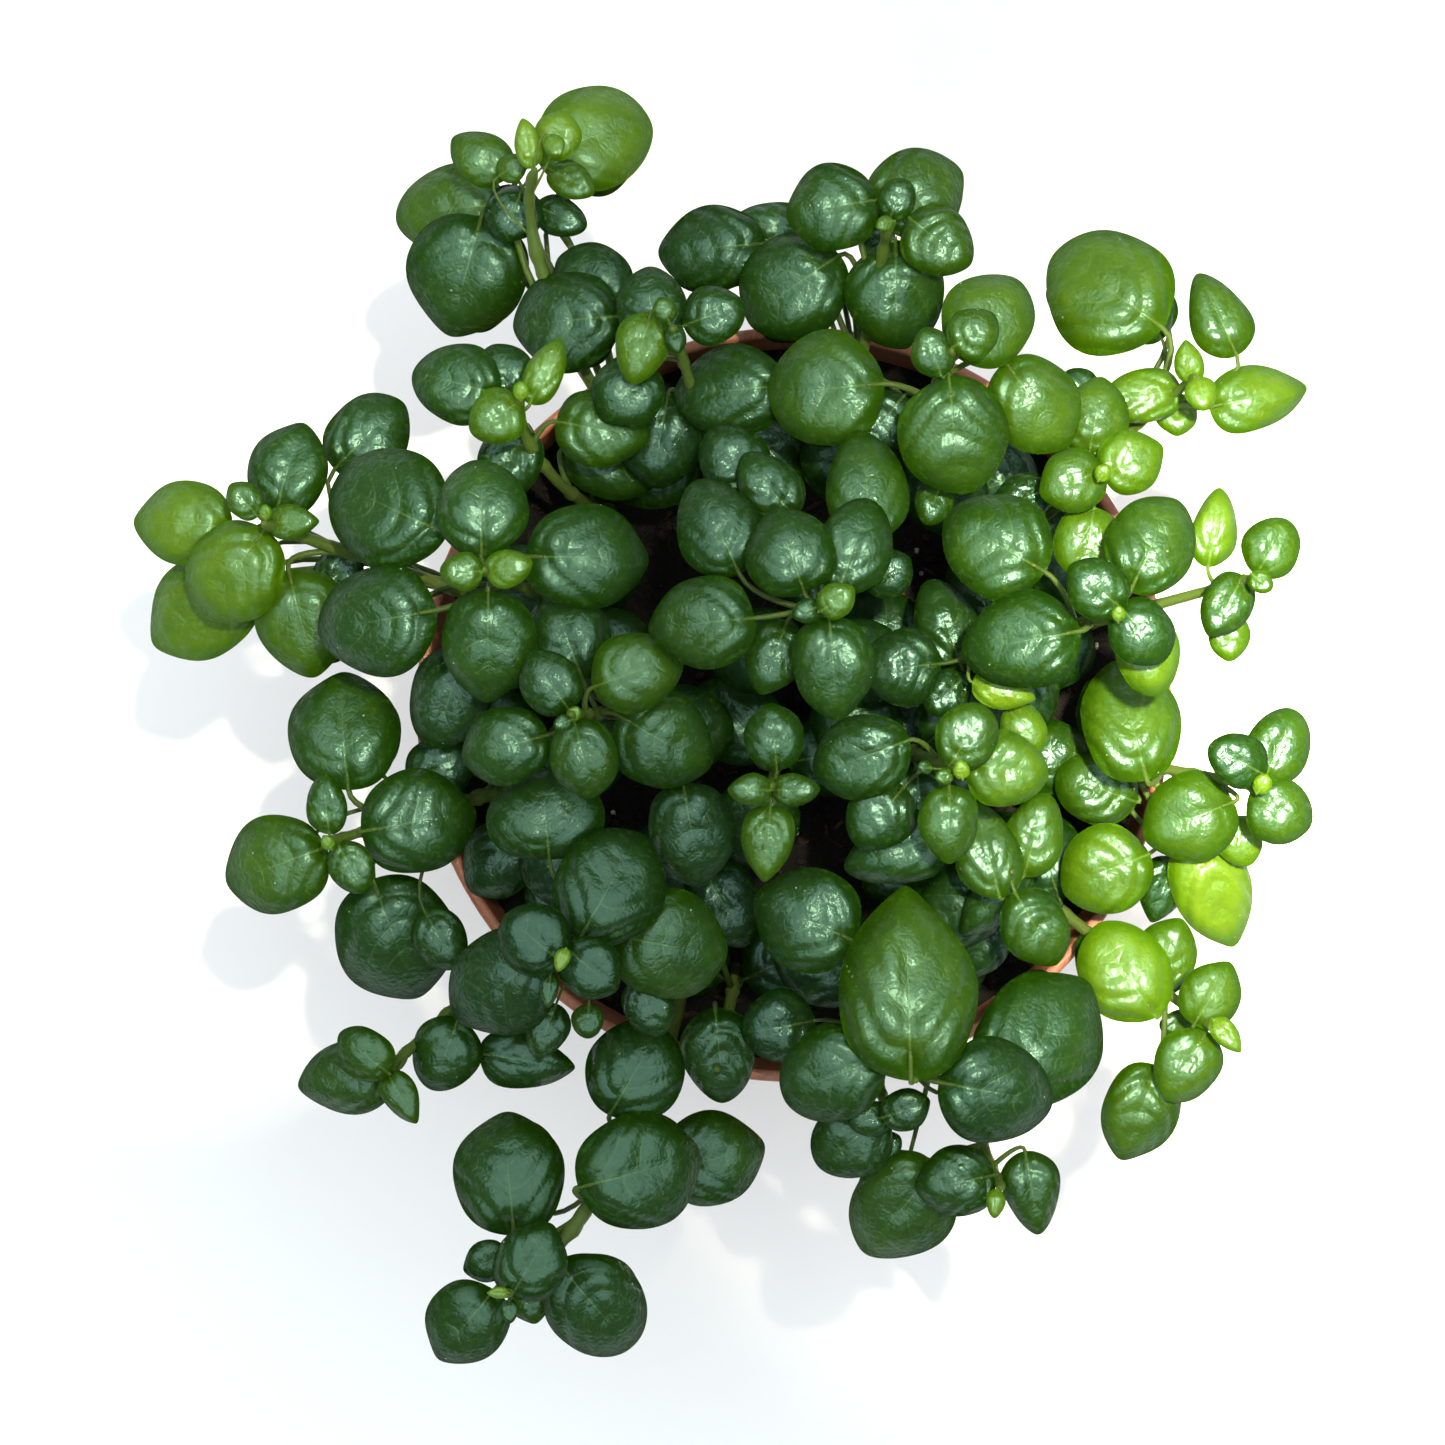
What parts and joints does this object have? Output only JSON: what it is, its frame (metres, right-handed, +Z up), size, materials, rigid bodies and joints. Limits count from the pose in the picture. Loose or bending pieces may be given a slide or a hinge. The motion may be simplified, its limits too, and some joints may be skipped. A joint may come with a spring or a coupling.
{
  "type": "potted foliage plant",
  "caption": "Bushy small-leaved foliage plant with puckered rounded green leaves, growing from soil in a round terracotta-coloured plastic pot with a rim band.",
  "frame": {"origin": "centre of the pot's base, on the surface it stands on", "axes": "+Z up along the pot's axis; +Y towards the top of the picture, which looks straight down; +X towards its right"},
  "size_m": [0.2194, 0.2385, 0.1941],
  "materials": {
    "pot": "satin",
    "soil": "matte",
    "pebble": "matte",
    "bark": "matte",
    "dead_leaf": "matte",
    "stems": "satin",
    "leaves": "satin"
  },
  "bodies": {
    "root": {"pot": "pot", "soil": "soil", "pebble": "pebble", "bark_chip": "bark", "fallen_leaf": "dead_leaf", "shoot_01_stem": "stems", "shoot_01_leaves": "leaves", "shoot_02_stem": "stems", "shoot_02_leaves": "leaves", "shoot_03_stem": "stems", "shoot_03_leaves": "leaves", "shoot_04_stem": "stems", "shoot_04_leaves": "leaves", "shoot_05_stem": "stems", "shoot_05_leaves": "leaves", "shoot_06_stem": "stems", "shoot_06_leaves": "leaves", "shoot_07_stem": "stems", "shoot_07_leaves": "leaves", "shoot_08_stem": "stems", "shoot_08_leaves": "leaves", "shoot_09_stem": "stems", "shoot_09_leaves": "leaves", "shoot_10_stem": "stems", "shoot_10_leaves": "leaves", "shoot_11_stem": "stems", "shoot_11_leaves": "leaves", "shoot_12_stem": "stems", "shoot_12_leaves": "leaves", "shoot_13_stem": "stems", "shoot_13_leaves": "leaves", "shoot_14_stem": "stems", "shoot_14_leaves": "leaves", "shoot_15_stem": "stems", "shoot_15_leaves": "leaves", "shoot_16_stem": "stems", "shoot_16_leaves": "leaves", "shoot_17_stem": "stems", "shoot_17_leaves": "leaves", "shoot_18_stem": "stems", "shoot_18_leaves": "leaves", "shoot_19_stem": "stems", "shoot_19_leaves": "leaves", "shoot_20_stem": "stems", "shoot_20_leaves": "leaves", "shoot_21_stem": "stems", "shoot_21_leaves": "leaves", "shoot_22_stem": "stems", "shoot_22_leaves": "leaves", "shoot_23_stem": "stems", "shoot_23_leaves": "leaves", "shoot_24_stem": "stems", "shoot_24_leaves": "leaves", "shoot_25_stem": "stems", "shoot_25_leaves": "leaves", "shoot_26_stem": "stems", "shoot_26_leaves": "leaves", "shoot_27_stem": "stems", "shoot_27_leaves": "leaves"}
  },
  "joints": []
}
